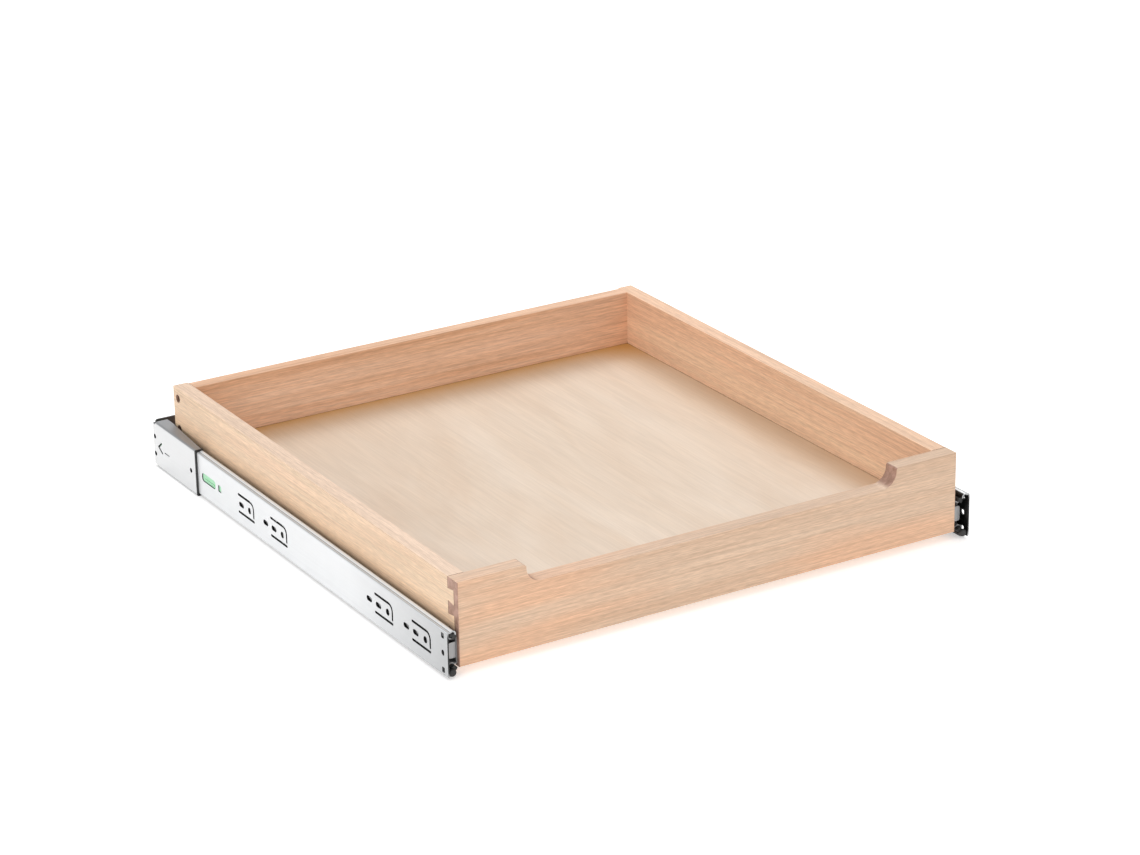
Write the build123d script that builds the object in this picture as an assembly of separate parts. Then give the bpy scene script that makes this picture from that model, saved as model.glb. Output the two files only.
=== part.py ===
from build123d import *
import math
import os

# A shallow wooden roll-out tray carried by a pair of full-extension soft-close ball-bearing slides.
# Millimetres, +Z up, X across the tray and centred, the tray's front faces -Y.
# The origin is at the middle of the whole assembly, level with its lowest edge.

# ---------------------------------------------------------------- driving dimensions

tray_width = 500.0
tray_depth = 530.0
tray_height = 75.0
side_gap = 12.7  # the standard clearance that each slide fills, from the tray's side to the wall face
slide_length = 533.4  # 21 inch slide
hole_pitch = 16.0  # half of the 32 mm cabinet hole system

sheet = 1.2  # steel sheet of the members and brackets
slide_setback = 3.7  # the slide's front end stands this far ahead of the front board's face
slide_centre = 15.0  # height of the slide's centre line above the tray's bottom edge
bracket_height = 45.2
bracket_rear = 553.7  # rear face of the bracket's rear plate, from the slide's front end

slide_front_y = -bracket_rear / 2
slide_z = bracket_height / 2
tray_bottom_z = slide_z - slide_centre
tray_front_y = slide_front_y + slide_setback
tray_rear_y = tray_front_y + tray_depth
wall_x = tray_width / 2 + side_gap

# ---------------------------------------------------------------- tray boards

board = 15.0
front_board_thickness = 15.5
back_board_thickness = 14.0
back_inset = 2.0  # the back board stands in from the rear ends of the sides
panel_thickness = 9.0
panel_bottom = 12.8  # above the tray's bottom edge
groove_depth = 5.0
groove_play = 0.1

tail_count = 3
tail_pitch = 22.6
lowest_tail = 14.0  # centre height of the lowest tail
tail_shoulder_width = 10.8
tail_end_width = 13.2
tail_root = 1.0  # each tail's outline starts this far inside its board
dovetail_lap = 5.8  # wood left in front of the tails
eased_edge = 0.5
front_edge = 0.8
joint_line = 0.15  # the fine glue line along the slopes of each tail
shoulder_gap = 0.6  # the open line between the boards' shoulders, and ahead of each tail

scoop_mouth_half = 187.5  # half of the scoop's width at the top edge
scoop_depth = 16.7
scoop_corner = 14.0
scoop_edge = 2.0

joint_screw_heights = (34.7, 64.7)
joint_screw_head = 3.7
joint_screw_head_height = 2.4
joint_screw_head_edge = 0.6
square_socket = 2.2
square_socket_depth = 1.4
joint_screw_shank = 2.0
counterbore_radius = 4.0
counterbore_depth = 4.5
joint_screw_reach = 32.0

# ---------------------------------------------------------------- slide sections
# u runs from the wall face towards the tray, w is the height above the slide's centre line.

ball_radius = 2.0
inner_ball_radius = 1.75
ball_play = 0.1
outer_race = ball_radius + ball_play + sheet / 2
inner_race = inner_ball_radius + ball_play + sheet / 2
outer_ball = (4.9, 17.9)
ball_stagger_angle = -63.9
inner_ball = (
    outer_ball[0] + (outer_race + inner_race) * math.cos(math.radians(ball_stagger_angle)),
    outer_ball[1] + (outer_race + inner_race) * math.sin(math.radians(ball_stagger_angle)),
)

cabinet_web = sheet / 2
cabinet_corner_height = 20.7
retainer_gap = 0.3
outer_retainer_sheet = 0.5
inner_retainer_sheet = 0.4
outer_retainer_web = sheet + retainer_gap + outer_retainer_sheet / 2
intermediate_web = sheet + 2 * retainer_gap + outer_retainer_sheet + sheet / 2
inner_retainer_web = intermediate_web + sheet / 2 + retainer_gap + inner_retainer_sheet / 2
drawer_web = side_gap - sheet / 2
drawer_flange_height = 12.1

# ---------------------------------------------------------------- slide lengths, from the front end

intermediate_front = 14.0
intermediate_rear = 524.0
drawer_member_front = 7.0
drawer_member_rear = 530.0
retainer_front = 151.0
retainer_rear = 386.0
balls_per_row = 10
ball_row_margin = 6.0

round_hole_radius = 3.0
slot_radius = 2.3
slot_length = 9.4
hole_groups = ((37.0, 2), (101.0, 2), (293.0, 2), (357.0, 1))  # round hole, number of slots behind it
slit_width = 2.3
slit_rear = 21.4  # behind the group's round hole
slit_front = -8.1
upper_slit_height = 8.7
lower_slit_height = -8.1
slit_corner = 6.0
slit_end_height = -4.2
lower_lip_cutback = 4.0  # the lower race starts behind the web's front edge

retainer_window_low = -11.0
retainer_window_high = 11.0
retainer_windows = (  # front, rear, lowest and highest edges of the cut-outs in the outer retainer's web
    (280.0, 288.0, retainer_window_low, retainer_window_high),
    (287.0, 331.0, retainer_window_low, -6.4),
    (294.6, 331.0, -6.5, 6.6),
    (296.0, 305.6, 6.5, retainer_window_high),
    (345.0, 353.5, retainer_window_low, retainer_window_high),
    (353.0, 380.0, retainer_window_low, -6.4),
    (358.8, 380.0, -6.5, retainer_window_high),
)
lightening_radius = 4.0

window_centre = 7.8
window_width = 4.2
window_height = 5.0
window_offset = 15.4
window_corner = 1.0
window_flat = 0.6  # how far the middle hole is cut off to a D
stop_boss_reach = 0.75
stop_boss_half = 2.0

clip_slot_start = 425.8
clip_slot_end = 453.4
clip_slot_corner = 3.2
clip_openings = (  # front, rear, height and corner radius of the openings that the housing clips into
    (clip_slot_start, clip_slot_end, 8.2, clip_slot_corner),
    (414.2, 420.0, 6.4, 0.9),
)
clip_play = 0.3
clip_recess = 0.7  # the clips' faces lie this far in from the wall face
rib_height = 0.35
rib_half = 0.5
rib_middle = -1.2

tab_front = 7.5
tab_half_height = 7.0
tab_reach = 4.7
tab_corner = 2.0

web_slot_front = 404.0
web_slot_half = 9.5

member_screws = (44.0, 204.0, 396.0)
member_screw_head = 3.6
member_screw_head_height = 2.1
member_screw_shank = 1.75
member_screw_end = 21.8
member_screw_play = 0.3
screw_head_edge = 0.8
cross_recess_half = 2.0
cross_recess_width = 0.8
cross_recess_depth = 0.9
pilot_play = 0.05

# ---------------------------------------------------------------- soft-close unit, from the front end

housing_front = 410.0
housing_rear = 551.0
housing_half = 8.0
housing_wall = 1.2
housing_floor = 1.3
housing_top = 8.6
end_block_front = 535.0
end_block_half = 17.0
end_block_top = 9.5
unit_rear = 547.0  # inside face of the housing's rear wall

carriage_front = 470.0
carriage_rear = 494.0
carriage_half = 6.4
carriage_bottom = 2.8
carriage_body_top = 6.9
jaw_top = 8.9
jaw_half = 4.0
jaw_width = 3.0
jaw_gap = 8.0
striker_y = 482.0
striker_radius = 2.5
striker_tip = 9.2
striker_edge = 0.4

damper_u = 5.5
damper_radius = 2.6
damper_bore = 1.8
damper_front = 496.0
damper_wall = 1.5
rod_radius = 1.0
piston_radius = 1.6
piston_length = 1.5
rod_rear = 544.5

spring_w = 4.9
spring_u = 4.4
spring_coil = 1.05
spring_wire = 0.25
spring_pitch = 1.3
spring_turns = 38

# ---------------------------------------------------------------- release lever, from the front end

lever_front = 255.0
lever_rear = 345.0
lever_pivot = 335.0
lever_bottom = 6.5
lever_top = 8.7
lever_half = 3.0
finger_length = 13.0
finger_half = 3.6
finger_corner = 1.5
finger_rib_count = 3
finger_rib_pitch = 3.0
finger_rib_width = 1.0
finger_rib_half = 2.6
finger_rib_height = 0.5
hook_start = 34.0  # from the lever's front end
hook_length = 5.0
hook_rise = 1.4
hook_ramp = 2.0
pivot_radius = 2.0
pivot_head = 3.4
pivot_head_height = 0.7
pivot_play = 0.05
pivot_gap = 0.3  # between the lever and the rivet's head or collar

# ---------------------------------------------------------------- rear bracket, from the front end

bracket_front = 463.0
bracket_flange_rear = 547.0
bracket_web = -1.4  # middle of the bracket's web, outside the cabinet member's wall face
bracket_flange_reach = 10.4
bracket_flange_front = 4.8  # the flanges taper to this reach at the front
bracket_bend = 1.4
bracket_neck_half = 20.0  # half height of the strip that joins the web to the rear plate
bracket_plate_start = 1.2
bracket_plate_reach = 36.0
bracket_plate_corner = 2.0
bracket_hole_radius = 2.3
bracket_holes = ((472.5, -0.3), (549.0, 7.8), (549.0, -9.3))
bracket_slot_u = 26.0
bracket_slot_spacing = 24.0
bracket_slot_length = 9.0
bracket_slot_radius = 2.6
arrow_width = 2.0
arrow_tip = (541.8, -0.4)
arrow_arms = ((535.2, 4.5), (534.2, -4.6))
arrow_tail_ends = ((528.6, -2.4), (519.4, -2.4))
arrow_tail_width = 1.2
arrow_tail_depth = 0.4

liner_front = 462.1
liner_rear = 526.0
liner_sheet = 0.4
liner_half = 17.0
liner_play = 0.15
liner_edge_margin = 0.1  # the rim stands this far inside the bracket's outer faces
liner_clearance = 0.05  # between the rim and the cabinet member
liner_hook_rear = 467.5
liner_hook_start = 5.3  # just past the edge of the bracket's flange
liner_hook_reach = 1.4

bumper_front = 3.0
bumper_sheet = sheet + 0.5
bumper_start_angle = 262.0  # where the rubber starts under the outer ball, in degrees
bumper_end_angle = 14.0  # where it ends over the inner ball
nose_front = 0.4
nose_overlap = 0.4  # the nose runs this far into the bumper behind it
nose_clearance = 0.5  # between the nose and the lip that is cut back above it
nose_radius = 3.35
nose_centre = (4.95, -16.95)
nose_edge = 1.2
dimple_y = 100.0
dimple_radius = 1.7


# ---------------------------------------------------------------- small helpers


def polar(centre, radius, angle):
    """A point on a circle, in degrees."""
    turn = math.radians(angle)
    return (centre[0] + radius * math.cos(turn), centre[1] + radius * math.sin(turn))


def box(low, high):
    """A box from its lowest to its highest corner."""
    size = [b - a for a, b in zip(low, high)]
    middle = [(a + b) / 2 for a, b in zip(low, high)]
    return Pos(*middle) * Box(*size)


def rod_along(axis, radius, start, end, a, b):
    """A cylinder along X, Y or Z from start to end, at a and b on the other two axes."""
    middle = (start + end) / 2
    place = {"X": (middle, a, b), "Y": (a, middle, b), "Z": (a, b, middle)}[axis]
    turn = {"X": (0, 90, 0), "Y": (90, 0, 0), "Z": (0, 0, 0)}[axis]
    return Pos(*place) * Rot(*turn) * Cylinder(radius, end - start)


def section_plane(y):
    """The plane across the slide at y, with u as its x and w as its y; its normal points forwards."""
    return Plane(origin=(0, y, 0), x_dir=(1, 0, 0), z_dir=(0, -1, 0))


def whole_path(upper_half):
    """A path and its mirror image below the slide's centre line, as one wire."""
    lower_half = mirror(upper_half, about=Plane.XZ)
    return Wire(list(upper_half.edges()) + list(lower_half.edges()))


def bent_sheet(path, thickness, front, rear):
    """Sheet metal of the given thickness that follows a path across the slide."""
    outline = path.offset_2d(thickness / 2, kind=Kind.ARC, side=Side.BOTH)
    return extrude(section_plane(rear) * Face(outline), rear - front)


def place_left(part):
    """Moves a slide part from its own frame to the left side of the tray."""
    return Pos(-wall_x, slide_front_y, slide_z) * part


# ---------------------------------------------------------------- paths of the slide's sheet sections


def cabinet_path():
    """Web, sharp corner, shallow groove, then the outer race over the outer ball."""
    race_start = 120
    race_end = -8
    crown = polar(outer_ball, outer_race, race_start)
    groove = polar(crown, 1.3, race_start + 90)
    corner = (cabinet_web, cabinet_corner_height)
    bends = FilletPolyline((cabinet_web, 0), corner, groove, crown, radius=[0.9, 0.75])
    race = CenterArc((*outer_ball, 0), outer_race, race_start, race_end - race_start)
    return whole_path(Curve() + [bends, race])


def intermediate_arcs(outer_start, inner_end):
    """The S of the intermediate member: under the outer ball, then over the inner ball."""
    meeting = 360 + ball_stagger_angle
    under = CenterArc((*outer_ball, 0), outer_race, outer_start, meeting - outer_start)
    over = CenterArc((*inner_ball, 0), inner_race, meeting - 180, inner_end - (meeting - 180))
    return under, over


def intermediate_path():
    outer_start = 250
    inner_end = 10
    begin = polar(outer_ball, outer_race, outer_start)
    slope = math.tan(math.radians(outer_start + 90))
    corner = (intermediate_web, begin[1] - slope * (begin[0] - intermediate_web))
    bend = FilletPolyline((intermediate_web, 0), corner, begin, radius=0.75)
    under, over = intermediate_arcs(outer_start, inner_end)
    return whole_path(Curve() + [bend, under, over])


def drawer_path():
    """Web, rounded corner, a small hump, then the race under the inner ball."""
    race_start = 310
    race_end = 212
    begin = polar(inner_ball, inner_race, race_start)
    rise = drawer_flange_height - begin[1]
    hump = (begin[0] + rise / math.tan(math.radians(race_start + 90 - 360)), drawer_flange_height)
    corner = (drawer_web, drawer_flange_height)
    bends = FilletPolyline((drawer_web, 0), corner, hump, begin, radius=[1.5, 0.7])
    race = CenterArc((*inner_ball, 0), inner_race, race_start, race_end - race_start)
    return whole_path(Curve() + [bends, race])


def retainer_path(web, ball, reach):
    """A flat channel whose flanges pass through the ball centres."""
    corner = (web, ball[1])
    half = FilletPolyline((web, 0), corner, (reach, ball[1]), radius=0.7)
    return whole_path(Curve() + [half])


# ---------------------------------------------------------------- slide parts, in the left slide's frame


def slit_cutter(path):
    """A round-ended slot through the cabinet member's web along a path of (y, w) points."""
    outline = path.offset_2d(slit_width / 2, kind=Kind.ARC, side=Side.BOTH)
    return extrude(web_plane() * Face(outline), sheet * 2, both=True)


def web_plane():
    """The wall face of the slide, with y as its x and w as its y."""
    return Plane(origin=(0, 0, 0), x_dir=(0, 1, 0), z_dir=(1, 0, 0))


def tongue_slits(round_hole):
    """The slit over a hole group that turns down ahead of it, and the slit under the group."""
    rear = round_hole + slit_rear
    front = round_hole + slit_front
    upper = FilletPolyline(
        (rear, upper_slit_height), (front, upper_slit_height), (front, slit_end_height), radius=slit_corner
    )
    lower = Line((rear, lower_slit_height), (front, lower_slit_height))
    return [slit_cutter(Wire(upper.edges())), slit_cutter(Wire(lower.edges()))]


def web_holes():
    """Every screw hole in the cabinet member's web: round ones, each with its slots behind it."""
    holes = []
    slot = SlotOverall(slot_length, 2 * slot_radius)
    for round_hole, slots in hole_groups:
        holes.append(rod_along("X", round_hole_radius, -1, 2 * sheet, round_hole, 0))
        for step in range(slots):
            y = round_hole + (step + 1) * hole_pitch
            holes.append(extrude(web_plane() * Pos(y, 0) * slot, sheet * 2, both=True))
    return holes


def web_opening(start, end, height, middle, corner):
    """A rounded opening through the cabinet member's web."""
    outline = RectangleRounded(end - start, height, corner)
    return extrude(web_plane() * Pos((start + end) / 2, middle) * outline, sheet * 2, both=True)


def front_windows():
    """The two lanced windows and the D-shaped hole between them, close to the front end."""
    start = window_centre - window_width / 2
    end = window_centre + window_width / 2
    windows = []
    for side in (1, -1):
        windows.append(web_opening(start, end, window_height, side * window_offset, window_corner))
    round_hole = Circle(window_height / 2) & Pos(window_flat, 0) * Rectangle(window_height, window_height)
    windows.append(extrude(web_plane() * Pos(window_centre, 0) * round_hole, sheet * 2, both=True))
    return windows


def retainer_stops():
    """Tabs lanced from the windows, which stop the outer ball retainer at the front."""
    start = window_centre + window_width / 2
    tabs = []
    for side in (1, -1):
        low = side * window_offset - stop_boss_half
        high = side * window_offset + stop_boss_half
        tabs.append(box((sheet / 2, start, low), (sheet + stop_boss_reach, start + sheet, high)))
    return tabs


def cabinet_member():
    part = bent_sheet(cabinet_path(), sheet, 0, slide_length)
    part += retainer_stops()
    cuts = web_holes() + front_windows()
    for round_hole, _ in hole_groups:
        cuts += tongue_slits(round_hole)
    lip_low = (sheet, -1, -bracket_height / 2)
    lip_top = nose_centre[1] + nose_radius + nose_clearance
    cuts.append(box(lip_low, (side_gap, lower_lip_cutback, lip_top)))
    for start, end, height, corner in clip_openings:
        cuts.append(web_opening(start, end, height, 0, corner))
    return part - cuts


def intermediate_member():
    part = bent_sheet(intermediate_path(), sheet, intermediate_front, intermediate_rear)
    low = (0, web_slot_front, -web_slot_half)
    high = (intermediate_web + sheet, intermediate_rear + 1, web_slot_half)
    dimple = rod_along("X", dimple_radius, sheet + retainer_gap, intermediate_web, dimple_y, 0)
    return part - box(low, high) + dimple


def stop_tab():
    """The tab bent across the drawer member's mouth from its web."""
    length = drawer_web - tab_reach
    outline = Pos(tab_reach + length / 2, 0) * Rectangle(length, 2 * tab_half_height)
    outer_corners = outline.vertices().group_by(Axis.X)[0]
    outline = fillet(outer_corners, tab_corner)
    return extrude(section_plane(tab_front + sheet) * outline, sheet)


def drawer_member():
    part = bent_sheet(drawer_path(), sheet, drawer_member_front, drawer_member_rear)
    part += stop_tab()
    for y in member_screws:
        hole_radius = member_screw_shank + member_screw_play
        part -= rod_along("X", hole_radius, side_gap - 2 * sheet, side_gap + 1, y, 0)
    part -= rod_along("X", striker_radius / 2, side_gap - 2 * sheet, side_gap + 1, striker_y, 0)
    part -= rod_along("X", pivot_radius, side_gap - 2 * sheet, side_gap + 1, lever_pivot, 0)
    return part


def ball_places():
    """Distances of the ball centres from the slide's front end."""
    first = retainer_front + ball_row_margin
    step = (retainer_rear - retainer_front - 2 * ball_row_margin) / (balls_per_row - 1)
    return [first + index * step for index in range(balls_per_row)]


def ball_set(ball, radius):
    """Separate steel balls in the upper and lower rows."""
    balls = []
    for side in (1, -1):
        for y in ball_places():
            balls.append(Pos(ball[0], y, side * ball[1]) * Sphere(radius))
    return Compound(children=balls)


def lightening_windows():
    """Cut-outs in the outer retainer's web."""
    inside = outer_retainer_web - outer_retainer_sheet
    outside = outer_retainer_web + outer_retainer_sheet
    cuts = []
    for front, rear, lowest, highest in retainer_windows:
        cuts.append(box((inside, front, lowest), (outside, rear, highest)))
    return cuts


def lightening_holes():
    """Round cut-outs in the inner retainer's web, between the balls."""
    places = ball_places()
    inside = inner_retainer_web - inner_retainer_sheet
    outside = inner_retainer_web + inner_retainer_sheet
    cuts = []
    for start, end in zip(places[1:-1:2], places[2:-1:2]):
        cuts.append(rod_along("X", lightening_radius, inside, outside, (start + end) / 2, 0))
    return cuts


def ball_retainer(path, thickness, ball, radius, cuts):
    """The channel that spaces the balls, notched at each one and with cut-outs in its web."""
    part = bent_sheet(path, thickness, retainer_front, retainer_rear)
    for side in (1, -1):
        height = side * ball[1]
        for y in ball_places():
            part -= rod_along("Z", radius + ball_play, height - 1, height + 1, ball[0], y)
    return part - cuts


def slide_bumpers():
    """Rubber noses on the intermediate member's front, which fill the ball tracks ahead of its flanges."""
    under, over = intermediate_arcs(bumper_start_angle, bumper_end_angle)
    path = Wire(list(under.edges()) + list(over.edges()))
    outline = Sketch() + Face(path.offset_2d(bumper_sheet / 2, kind=Kind.ARC, side=Side.BOTH))
    outline += Pos(*outer_ball) * Circle(ball_radius - ball_play)
    outline += Pos(*inner_ball) * Circle(inner_ball_radius - ball_play)
    upper = extrude(section_plane(intermediate_front) * outline, intermediate_front - bumper_front)
    nose = rod_along("Y", nose_radius, nose_front, bumper_front + nose_overlap, *nose_centre)
    nose = fillet(nose.edges().group_by(Axis.Y)[0], nose_edge)
    lower = mirror(upper, about=Plane.XY) + nose
    return Compound(children=[upper, lower])


def member_fasteners():
    """Pan-head screws through the drawer member into the tray's side."""
    screws = []
    seat = side_gap - sheet
    head_top = seat - member_screw_head_height
    recess_bottom = head_top + cross_recess_depth
    narrow = cross_recess_width / 2
    for y in member_screws:
        head = rod_along("X", member_screw_head, head_top, seat, y, 0)
        head = fillet(head.edges().group_by(Axis.X)[0], screw_head_edge)
        for half_y, half_w in ((cross_recess_half, narrow), (narrow, cross_recess_half)):
            head -= box((head_top - 1, y - half_y, -half_w), (recess_bottom, y + half_y, half_w))
        screws.append(head + rod_along("X", member_screw_shank, seat, member_screw_end, y, 0))
    return Compound(children=screws)


def striker_pin():
    """The riveted stud that the soft-close catch takes hold of."""
    stud = rod_along("X", striker_radius, striker_tip, side_gap - sheet, striker_y, 0)
    stud = chamfer(stud.edges().group_by(Axis.X)[0], striker_edge)
    return stud + rod_along("X", striker_radius / 2, side_gap - sheet, side_gap, striker_y, 0)


def release_lever():
    """A flat plastic lever with a finger pad in front and a hook on its back."""
    pad_rear = lever_front + finger_length
    arm = box((lever_bottom, pad_rear - 1, -lever_half), (lever_top, lever_rear, lever_half))
    arm = fillet(arm.edges().filter_by(Axis.X).group_by(Axis.Y)[-1], lever_half - pivot_play)
    pad = box((lever_bottom, lever_front, -finger_half), (lever_top, pad_rear, finger_half))
    pad = fillet(pad.edges().filter_by(Axis.X), finger_corner)
    hook_y = lever_front + hook_start
    hook_high = (lever_top, hook_y + hook_length, lever_half + hook_rise)
    hook = box((lever_bottom, hook_y, lever_half - 1), hook_high)
    hook = chamfer(hook.edges().filter_by(Axis.X).group_by(Axis.Y)[0].sort_by(Axis.Z)[-1:], hook_ramp)
    ribs = []
    for index in range(finger_rib_count):
        rib_y = lever_front + finger_rib_pitch * (index + 1)
        rib_low = (lever_bottom - finger_rib_height, rib_y, -finger_rib_half)
        ribs.append(box(rib_low, (lever_bottom, rib_y + finger_rib_width, finger_rib_half)))
    hole = rod_along("X", pivot_radius + pivot_play, 0, side_gap, lever_pivot, 0)
    return arm + pad + hook + ribs - hole


def lever_rivet():
    """The rivet that the release lever turns on, with a collar that spaces it off the web."""
    head_under = lever_bottom - pivot_gap
    head_top = head_under - pivot_head_height
    web_face = side_gap - sheet
    shaft = rod_along("X", pivot_radius, head_top, side_gap, lever_pivot, 0)
    head = rod_along("X", pivot_head, head_top, head_under, lever_pivot, 0)
    collar = rod_along("X", pivot_head, lever_top + pivot_gap, web_face, lever_pivot, 0)
    return shaft + head + collar


def soft_close_housing():
    """A green plastic channel clipped into the cabinet member, with a block that closes its rear end."""
    part = box((housing_floor, housing_front, -housing_half), (housing_top, housing_rear, housing_half))
    block_low = (0.3, end_block_front, -end_block_half)
    block = box(block_low, (end_block_top, housing_rear, end_block_half))
    part += fillet(block.edges().filter_by(Axis.X), 2.0)
    inside = housing_half - housing_wall
    pocket_low = (housing_floor + housing_wall, housing_front + 2, -inside)
    part -= box(pocket_low, (end_block_top + 1, unit_rear, inside))
    for start, end, height, corner in clip_openings:
        half = height / 2 - clip_play
        clip = box((clip_recess, start + clip_play, -half), (housing_floor, end - clip_play, half))
        part += fillet(clip.edges().filter_by(Axis.X), corner - clip_play)
    rib_ends = (clip_slot_start + clip_slot_corner, clip_slot_end - clip_slot_corner)
    rib_low = (clip_recess - rib_height, rib_ends[0], rib_middle - rib_half)
    part += box(rib_low, (housing_floor, rib_ends[1], rib_middle + rib_half))
    return part


def soft_close_carriage():
    """The block that the springs pull back, with the two jaws of the catch on top."""
    low = (carriage_bottom, carriage_front, -carriage_half)
    part = box(low, (carriage_body_top, carriage_rear, carriage_half))
    part = fillet(part.edges().filter_by(Axis.X), 1.0)
    for start in (striker_y - jaw_gap / 2 - jaw_width, striker_y + jaw_gap / 2):
        jaw = box((carriage_body_top - 1, start, -jaw_half), (jaw_top, start + jaw_width, jaw_half))
        part += jaw
    trough = rod_along("X", jaw_gap / 2, carriage_body_top - 1.2, carriage_body_top + 1, striker_y, 0)
    return part - trough


def damper_cylinder():
    rear = unit_rear - 0.5
    body = rod_along("Y", damper_radius, damper_front, rear, damper_u, 0)
    bore = rod_along("Y", damper_bore, damper_front + damper_wall, rear - damper_wall, damper_u, 0)
    neck = rod_along("Y", rod_radius + 0.15, damper_front - 1, damper_front + 2, damper_u, 0)
    return body - bore - neck


def damper_rod():
    """Rod and piston; the rod's front end butts on the carriage."""
    rod = rod_along("Y", rod_radius, carriage_rear, rod_rear, damper_u, 0)
    return rod + rod_along("Y", piston_radius, rod_rear - piston_length, rod_rear, damper_u, 0)


def closing_springs():
    """Two fine extension springs beside the damper."""
    coil = Helix(spring_pitch, spring_pitch * spring_turns, spring_coil)
    wire = Plane(origin=coil @ 0, z_dir=coil % 0) * Circle(spring_wire)
    spring = sweep(wire, path=coil, is_frenet=True)
    laid = Pos(spring_u, carriage_rear + 0.6, 0) * Rot(-90, 0, 0) * spring
    return Compound(children=[Pos(0, 0, side * spring_w) * laid for side in (1, -1)])


def arrow_cuts():
    """A generic arrow that points to the rear: its head is cut through the bracket, its tail is a groove."""
    outer_face = bracket_web - sheet / 2
    head = Wire(Polyline(arrow_arms[0], arrow_tip, arrow_arms[1]).edges())
    tail = Wire(Line(*arrow_tail_ends).edges())
    cuts = []
    for path, width, depth in ((head, arrow_width, 2 * sheet), (tail, arrow_tail_width, arrow_tail_depth)):
        outline = path.offset_2d(width / 2, kind=Kind.ARC, side=Side.BOTH)
        face = Pos(outer_face, 0, 0) * (web_plane() * Face(outline))
        cuts.append(extrude(face, depth, both=True))
    return cuts


def flange_taper():
    """What is cut off both flanges, which narrow from the full reach in the rear to the front."""
    full = bracket_flange_reach + sheet
    corners = [
        (bracket_flange_front, bracket_front - 1),
        (bracket_flange_front, bracket_front),
        (full, bracket_flange_rear),
        (full, bracket_front - 1),
    ]
    outline = make_face(Polyline(*corners, close=True))
    return extrude(outline, bracket_height, both=True)


def rear_bracket():
    """A sleeve over the rear end of the cabinet member, ending in a plate for the cabinet's back."""
    flange = bracket_height / 2 - sheet / 2
    corner = (bracket_web, flange)
    half = FilletPolyline((bracket_web, 0), corner, (bracket_flange_reach, flange), radius=bracket_bend)
    part = bent_sheet(whole_path(Curve() + [half]), sheet, bracket_front, bracket_flange_rear)
    plate_y = bracket_rear - sheet / 2
    bend = FilletPolyline(
        (bracket_web, bracket_flange_rear - 2),
        (bracket_web, plate_y),
        (bracket_plate_reach, plate_y),
        radius=bracket_bend,
    )
    outline = Wire(bend.edges()).offset_2d(sheet / 2, kind=Kind.ARC, side=Side.BOTH)
    part += extrude(Face(outline), bracket_neck_half, both=True)
    plate_low = (bracket_plate_start, bracket_rear - sheet, -bracket_height / 2)
    plate = box(plate_low, (bracket_plate_reach, bracket_rear, bracket_height / 2))
    part += fillet(plate.edges().filter_by(Axis.Y), bracket_plate_corner)
    for y, w in bracket_holes:
        part -= rod_along("X", bracket_hole_radius, bracket_web - sheet, bracket_web + sheet, y, w)
    slot = SlotOverall(bracket_slot_length, 2 * bracket_slot_radius, rotation=90)
    for side in (1, -1):
        middle = Pos(bracket_slot_u, side * bracket_slot_spacing / 2)
        part -= extrude(section_plane(plate_y) * middle * slot, 2 * sheet, both=True)
    return part - arrow_cuts() - flange_taper()


def bracket_liner():
    """A black plastic liner between the bracket and the cabinet member, with a rim ahead of the bracket."""
    outer = bracket_height / 2 - liner_edge_margin
    web_outer = bracket_web - sheet / 2 + liner_edge_margin
    inner = bracket_height / 2 - sheet + liner_clearance
    rim = box((web_outer, liner_front, -outer), (bracket_flange_front, bracket_front, outer))
    rim = fillet(rim.edges().filter_by(Axis.Y).group_by(Axis.X)[0], bracket_bend)
    rim -= box((-liner_play, liner_front - 1, -inner), (side_gap, bracket_front + 1, inner))
    gap_middle = (bracket_web + sheet / 2) / 2
    web_low = (gap_middle - liner_sheet / 2, liner_front, -liner_half)
    web = box(web_low, (gap_middle + liner_sheet / 2, liner_rear, liner_half))
    hook_low = (liner_hook_start, liner_front, inner)
    hook = box(hook_low, (liner_hook_start + liner_hook_reach, liner_hook_rear, outer))
    bridge_low = (bracket_flange_front - liner_hook_reach, liner_front, inner)
    bridge = box(bridge_low, (liner_hook_start + liner_hook_reach, bracket_front, outer))
    return rim + web + hook + bridge


# ---------------------------------------------------------------- tray parts, in the part's frame


def tray_z(height):
    """Height above the tray's bottom edge, in the part's frame."""
    return tray_bottom_z + height


def tail_outline(extra, front, shoulder):
    """The flared outlines of the tails on the side's face, as (y, z) faces that start inside the board."""
    faces = Sketch()
    flare = (tail_end_width - tail_shoulder_width) / 2 / (shoulder - front)
    reach = front - extra
    root = shoulder + tail_root
    end_half = tail_shoulder_width / 2 + flare * (shoulder - reach) + extra
    root_half = tail_shoulder_width / 2 - flare * tail_root + extra
    for index in range(tail_count):
        middle = tray_z(lowest_tail + index * tail_pitch)
        corners = [
            (root, middle - root_half),
            (reach, middle - end_half),
            (reach, middle + end_half),
            (root, middle + root_half),
        ]
        faces += make_face(Polyline(*corners, close=True))
    return faces


def tails(extra):
    """Tails on the left side board, or with extra room the sockets that take them."""
    front = tray_front_y + dovetail_lap
    shoulder = tray_front_y + front_board_thickness
    outline = tail_outline(extra, front, shoulder)
    side_plane = Plane(origin=(-tray_width / 2, 0, 0), x_dir=(0, 1, 0), z_dir=(1, 0, 0))
    return extrude(side_plane * outline, board + extra)


def joint_screw_places():
    """Centres of the screws that hold the back board, as (y, z)."""
    y = tray_rear_y - back_inset - back_board_thickness / 2
    return [(y, tray_z(height)) for height in joint_screw_heights]


def member_screw_holes():
    """Pilot holes for the drawer member's screws in the left side."""
    outer = -tray_width / 2
    reach = outer + member_screw_end - side_gap + 1
    return [
        rod_along("X", member_screw_shank + pilot_play, outer - 1, reach, slide_front_y + y, slide_z)
        for y in member_screws
    ]


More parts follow.
